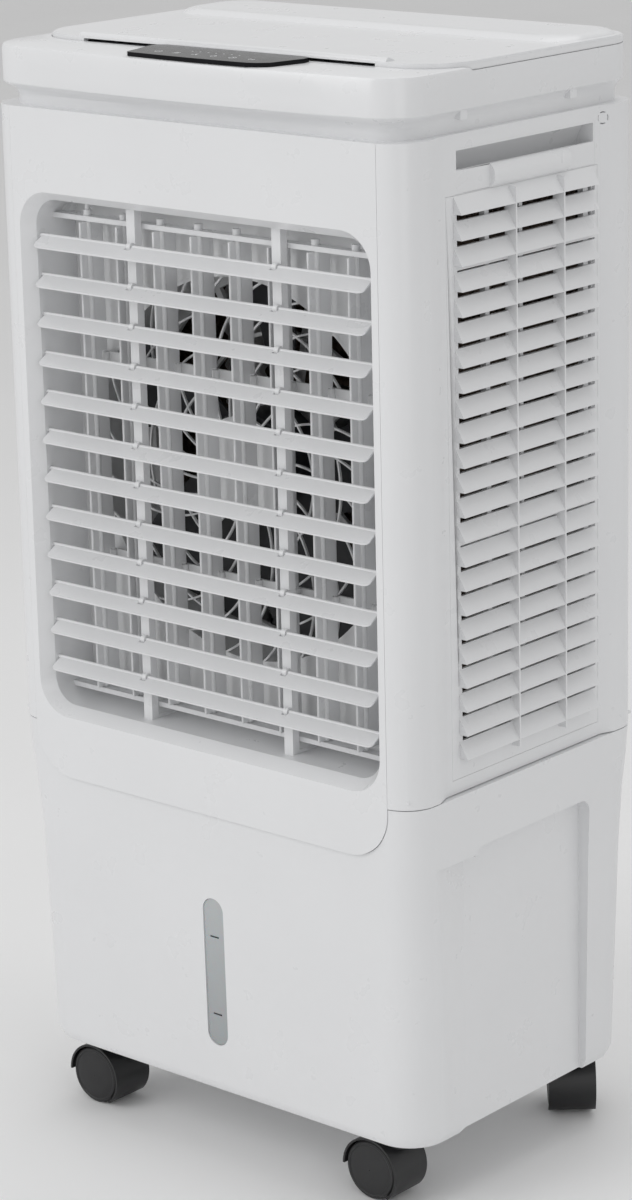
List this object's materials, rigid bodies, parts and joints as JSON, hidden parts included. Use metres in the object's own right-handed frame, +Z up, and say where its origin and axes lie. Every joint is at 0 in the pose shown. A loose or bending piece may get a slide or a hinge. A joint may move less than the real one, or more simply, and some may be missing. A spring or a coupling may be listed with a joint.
{
  "type": "evaporative air cooler",
  "caption": "Upright evaporative air cooler on castors: tank with level window, louvred front outlet with swinging vanes, slatted pad inlets, hinged ice lid and touch panel.",
  "frame": {"origin": "on the floor under the middle of the cooler's overall box", "axes": "+Z up, the air outlet faces -Y, +X towards the viewer's right when facing the outlet"},
  "size_m": [0.433, 0.317, 0.9155],
  "materials": {
    "white_plastic": "satin moulded white",
    "window": "smoky translucent",
    "panel_gloss": "polished black",
    "motor_grey": "dull",
    "dark_plastic": "fine grain",
    "pad": "corrugated cellulose",
    "tray": "smooth",
    "hose": "soft",
    "steel": "plated",
    "castor_black": "satin",
    "castor_tread": "worn"
  },
  "bodies": {
    "cooler": {"tank": "white_plastic", "level_window": "window", "housing": "white_plastic", "front_frame": "white_plastic", "cap": "white_plastic", "control_panel": "panel_gloss", "control_box": "dark_plastic", "ice_tray": "tray", "swing_motor": "motor_grey", "fan_shroud": "white_plastic", "fan_guard": "white_plastic", "fan_motor": "motor_grey", "motor_bracket": "white_plastic", "side_panel_l": "white_plastic", "side_panel_r": "white_plastic", "handle_l": "white_plastic", "handle_r": "white_plastic", "pad_l": "pad", "pad_r": "pad", "pad_rear": "pad", "rear_panel": "white_plastic", "water_tray": "tray", "pump": "dark_plastic", "hose": "hose", "cord_gland": "dark_plastic", "screws": "steel"},
    "lid": {"lid": "white_plastic"},
    "drain_plug": {"drain_plug": "white_plastic"},
    "blade_01": {"blade_01": "white_plastic"},
    "blade_02": {"blade_02": "white_plastic"},
    "blade_03": {"blade_03": "white_plastic"},
    "blade_04": {"blade_04": "white_plastic"},
    "blade_05": {"blade_05": "white_plastic"},
    "blade_06": {"blade_06": "white_plastic"},
    "blade_07": {"blade_07": "white_plastic"},
    "blade_08": {"blade_08": "white_plastic"},
    "blade_09": {"blade_09": "white_plastic"},
    "blade_10": {"blade_10": "white_plastic"},
    "blade_11": {"blade_11": "white_plastic"},
    "blade_12": {"blade_12": "white_plastic"},
    "vane_1": {"vane_1": "white_plastic"},
    "vane_2": {"vane_2": "white_plastic"},
    "vane_3": {"vane_3": "white_plastic"},
    "vane_4": {"vane_4": "white_plastic"},
    "vane_5": {"vane_5": "white_plastic"},
    "vane_6": {"vane_6": "white_plastic"},
    "vane_7": {"vane_7": "white_plastic"},
    "vane_8": {"vane_8": "white_plastic"},
    "link_upper": {"link_upper": "white_plastic"},
    "link_lower": {"link_lower": "white_plastic"},
    "impeller": {"impeller": "dark_plastic"},
    "castor_fl_hood": {"castor_fl_hood": "castor_black"},
    "castor_fl_wheels": {"castor_fl_wheels": "castor_tread"},
    "castor_fr_hood": {"castor_fr_hood": "castor_black"},
    "castor_fr_wheels": {"castor_fr_wheels": "castor_tread"},
    "castor_rl_hood": {"castor_rl_hood": "castor_black"},
    "castor_rl_wheels": {"castor_rl_wheels": "castor_tread"},
    "castor_rr_hood": {"castor_rr_hood": "castor_black"},
    "castor_rr_wheels": {"castor_rr_wheels": "castor_tread"}
  },
  "joints": [
    {"name": "lid_hinge", "type": "hinge", "parent": "cooler", "child": "lid", "pos_m": [0, 0.1504, 0.9051], "axis": [-1, 0, 0], "range_deg": [0, 95]},
    {"name": "drain_plug_pull", "type": "slide", "parent": "cooler", "child": "drain_plug", "axis": [0, 1, 0], "range_m": [0, 0.025]},
    {"name": "blade_01_tilt", "type": "hinge", "parent": "cooler", "child": "blade_01", "pos_m": [0, -0.1305, 0.7556], "axis": [-1, 0, 0], "range_deg": [-30, 65]},
    {"name": "blade_02_tilt", "type": "hinge", "parent": "cooler", "child": "blade_02", "pos_m": [0, -0.1305, 0.7236], "axis": [-1, 0, 0], "range_deg": [-30, 65]},
    {"name": "blade_03_tilt", "type": "hinge", "parent": "cooler", "child": "blade_03", "pos_m": [0, -0.1305, 0.6916], "axis": [-1, 0, 0], "range_deg": [-30, 65]},
    {"name": "blade_04_tilt", "type": "hinge", "parent": "cooler", "child": "blade_04", "pos_m": [0, -0.1305, 0.6596], "axis": [-1, 0, 0], "range_deg": [-30, 65]},
    {"name": "blade_05_tilt", "type": "hinge", "parent": "cooler", "child": "blade_05", "pos_m": [0, -0.1305, 0.6276], "axis": [-1, 0, 0], "range_deg": [-30, 65]},
    {"name": "blade_06_tilt", "type": "hinge", "parent": "cooler", "child": "blade_06", "pos_m": [0, -0.1305, 0.5956], "axis": [-1, 0, 0], "range_deg": [-30, 65]},
    {"name": "blade_07_tilt", "type": "hinge", "parent": "cooler", "child": "blade_07", "pos_m": [0, -0.1305, 0.5636], "axis": [-1, 0, 0], "range_deg": [-30, 65]},
    {"name": "blade_08_tilt", "type": "hinge", "parent": "cooler", "child": "blade_08", "pos_m": [0, -0.1305, 0.5316], "axis": [-1, 0, 0], "range_deg": [-30, 65]},
    {"name": "blade_09_tilt", "type": "hinge", "parent": "cooler", "child": "blade_09", "pos_m": [0, -0.1305, 0.4996], "axis": [-1, 0, 0], "range_deg": [-30, 65]},
    {"name": "blade_10_tilt", "type": "hinge", "parent": "cooler", "child": "blade_10", "pos_m": [0, -0.1305, 0.4676], "axis": [-1, 0, 0], "range_deg": [-30, 65]},
    {"name": "blade_11_tilt", "type": "hinge", "parent": "cooler", "child": "blade_11", "pos_m": [0, -0.1305, 0.4356], "axis": [-1, 0, 0], "range_deg": [-30, 65]},
    {"name": "blade_12_tilt", "type": "hinge", "parent": "cooler", "child": "blade_12", "pos_m": [0, -0.1305, 0.4036], "axis": [-1, 0, 0], "range_deg": [-30, 65]},
    {"name": "vane_1_swing", "type": "hinge", "parent": "cooler", "child": "vane_1", "pos_m": [-0.14, -0.112, 0.5738], "axis": [0, 0, 1], "range_deg": [-35, 35]},
    {"name": "vane_2_swing", "type": "hinge", "parent": "cooler", "child": "vane_2", "pos_m": [-0.1, -0.112, 0.5738], "axis": [0, 0, 1], "range_deg": [-35, 35]},
    {"name": "vane_3_swing", "type": "hinge", "parent": "cooler", "child": "vane_3", "pos_m": [-0.06, -0.112, 0.5738], "axis": [0, 0, 1], "range_deg": [-35, 35]},
    {"name": "vane_4_swing", "type": "hinge", "parent": "cooler", "child": "vane_4", "pos_m": [-0.02, -0.112, 0.5738], "axis": [0, 0, 1], "range_deg": [-35, 35]},
    {"name": "vane_5_swing", "type": "hinge", "parent": "cooler", "child": "vane_5", "pos_m": [0.02, -0.112, 0.5738], "axis": [0, 0, 1], "range_deg": [-35, 35]},
    {"name": "vane_6_swing", "type": "hinge", "parent": "cooler", "child": "vane_6", "pos_m": [0.06, -0.112, 0.5738], "axis": [0, 0, 1], "range_deg": [-35, 35]},
    {"name": "vane_7_swing", "type": "hinge", "parent": "cooler", "child": "vane_7", "pos_m": [0.1, -0.112, 0.5738], "axis": [0, 0, 1], "range_deg": [-35, 35]},
    {"name": "vane_8_swing", "type": "hinge", "parent": "cooler", "child": "vane_8", "pos_m": [0.14, -0.112, 0.5738], "axis": [0, 0, 1], "range_deg": [-35, 35]},
    {"name": "link_upper_pivot", "type": "hinge", "parent": "vane_1", "child": "link_upper", "pos_m": [-0.14, -0.0975, 0.65435], "axis": [0, 0, 1], "range_deg": [-35, 35]},
    {"name": "link_lower_pivot", "type": "hinge", "parent": "vane_1", "child": "link_lower", "pos_m": [-0.14, -0.0975, 0.4908], "axis": [0, 0, 1], "range_deg": [-35, 35]},
    {"name": "impeller_spin", "type": "hinge", "parent": "cooler", "child": "impeller", "pos_m": [0, -0.062, 0.578], "axis": [0, -1, 0], "continuous": true},
    {"name": "castor_fl_swivel", "type": "hinge", "parent": "cooler", "child": "castor_fl_hood", "pos_m": [-0.154, -0.096, 0.06], "axis": [0, 0, 1], "continuous": true},
    {"name": "castor_fl_roll", "type": "hinge", "parent": "castor_fl_hood", "child": "castor_fl_wheels", "pos_m": [-0.17, -0.096, 0.025], "axis": [0, -1, 0], "continuous": true},
    {"name": "castor_fr_swivel", "type": "hinge", "parent": "cooler", "child": "castor_fr_hood", "pos_m": [0.154, -0.096, 0.06], "axis": [0, 0, 1], "continuous": true},
    {"name": "castor_fr_roll", "type": "hinge", "parent": "castor_fr_hood", "child": "castor_fr_wheels", "pos_m": [0.138, -0.096, 0.025], "axis": [0, -1, 0], "continuous": true},
    {"name": "castor_rl_swivel", "type": "hinge", "parent": "cooler", "child": "castor_rl_hood", "pos_m": [-0.166, 0.117, 0.06], "axis": [0, 0, 1], "continuous": true},
    {"name": "castor_rl_roll", "type": "hinge", "parent": "castor_rl_hood", "child": "castor_rl_wheels", "pos_m": [-0.15374, 0.12729, 0.025], "axis": [-0.6428, 0.766, 0], "continuous": true},
    {"name": "castor_rr_swivel", "type": "hinge", "parent": "cooler", "child": "castor_rr_hood", "pos_m": [0.166, 0.117, 0.06], "axis": [0, 0, 1], "continuous": true},
    {"name": "castor_rr_roll", "type": "hinge", "parent": "castor_rr_hood", "child": "castor_rr_wheels", "pos_m": [0.1555, 0.12907, 0.025], "axis": [-0.7547, -0.6561, 0], "continuous": true}
  ],
  "couplings": [
    {"joint": "vane_2_swing", "follows": "vane_1_swing", "ratio": 1},
    {"joint": "vane_3_swing", "follows": "vane_1_swing", "ratio": 1},
    {"joint": "vane_4_swing", "follows": "vane_1_swing", "ratio": 1},
    {"joint": "vane_5_swing", "follows": "vane_1_swing", "ratio": 1},
    {"joint": "vane_6_swing", "follows": "vane_1_swing", "ratio": 1},
    {"joint": "vane_7_swing", "follows": "vane_1_swing", "ratio": 1},
    {"joint": "vane_8_swing", "follows": "vane_1_swing", "ratio": 1},
    {"joint": "link_upper_pivot", "follows": "vane_1_swing", "ratio": -1},
    {"joint": "link_lower_pivot", "follows": "vane_1_swing", "ratio": -1}
  ]
}
